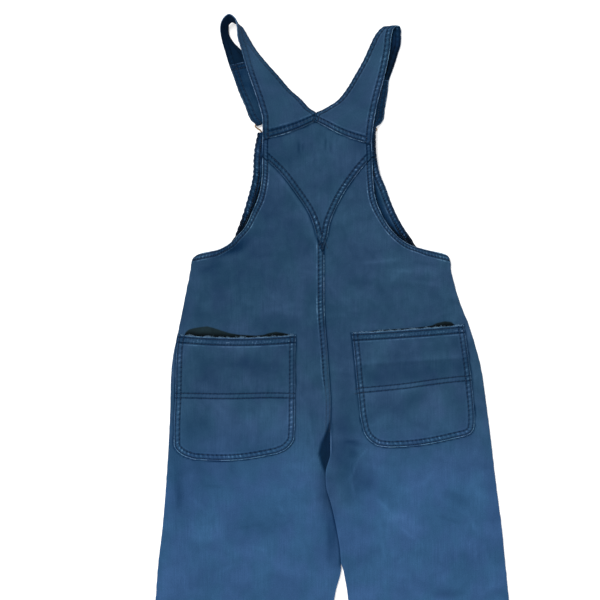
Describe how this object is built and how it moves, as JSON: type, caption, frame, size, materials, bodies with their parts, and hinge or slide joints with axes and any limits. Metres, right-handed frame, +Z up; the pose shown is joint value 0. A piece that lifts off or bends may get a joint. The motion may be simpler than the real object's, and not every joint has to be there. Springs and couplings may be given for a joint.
{
  "type": "denim dungarees",
  "caption": "Blue denim dungarees laid flat on their front, back side up: straight legs, patch pockets, pointed back yoke and straps hooked to the bib under it.",
  "frame": {"origin": "on the surface that the garment lies on, under the middle of its outline", "axes": "+Y from the leg hems to the straps, +X towards the wearer's right, +Z up from the surface"},
  "size_m": [0.614, 1.409, 0.0243],
  "materials": {
    "denim_leg": "washed mid-blue cotton denim twill, matt, paler on the worn seam edges",
    "denim_body": "darker indigo cotton denim twill, matt, paler on the worn edges of straps and pockets",
    "denim_inside": "unworn inner face of the denim, dark navy, matt",
    "brass": "worn satin brass"
  },
  "bodies": {
    "root": {"back_left": "denim_leg", "back_right": "denim_leg", "back_yoke": "denim_body", "strap_left": "denim_body", "strap_right": "denim_body", "pocket_left": "denim_body", "pocket_right": "denim_body", "front_bib": "denim_inside", "front_left": "denim_leg", "front_right": "denim_leg", "clasp_left": "brass", "clasp_right": "brass", "button_left": "brass", "button_right": "brass"}
  },
  "joints": []
}
